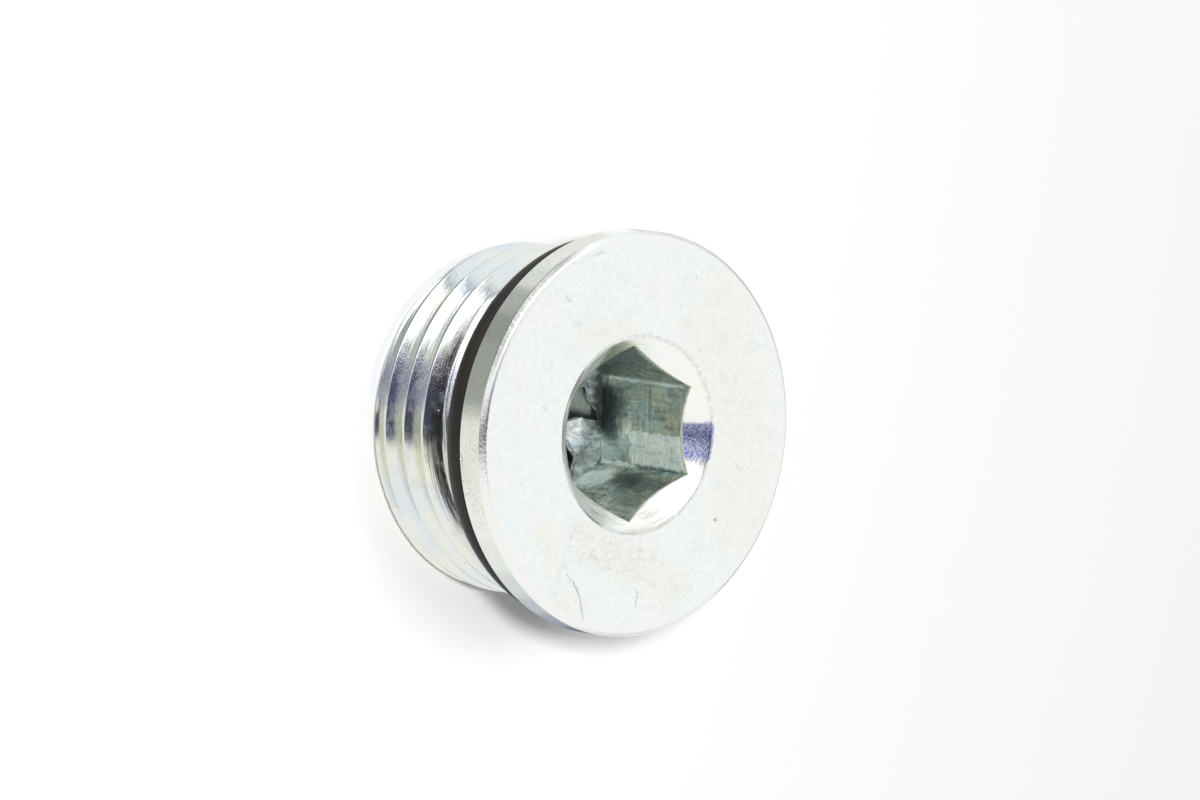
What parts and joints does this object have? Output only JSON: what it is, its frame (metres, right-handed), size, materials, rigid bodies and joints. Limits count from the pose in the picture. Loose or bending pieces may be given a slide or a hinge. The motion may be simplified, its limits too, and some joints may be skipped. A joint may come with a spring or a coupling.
{
  "type": "fill plug",
  "caption": "Round flange-head fill plug with a hexagon socket, a coarse threaded stud and a rubber sealing ring under the head.",
  "frame": {"origin": "centre of the stud's end face, on which the plug stands", "axes": "+Z along the plug's axis from the stud's end to the head's face, where the socket opens; +X through a corner of the hexagon socket"},
  "size_m": [0.0254, 0.0254, 0.0138],
  "materials": {
    "zinc_plate": "clear zinc plate over turned steel: satin on the head, brighter on the thread",
    "seal_rubber": "matt black nitrile rubber with a faint brown cast"
  },
  "bodies": {
    "root": {"plug_body": "zinc_plate", "sealing_ring": "seal_rubber"}
  },
  "joints": []
}
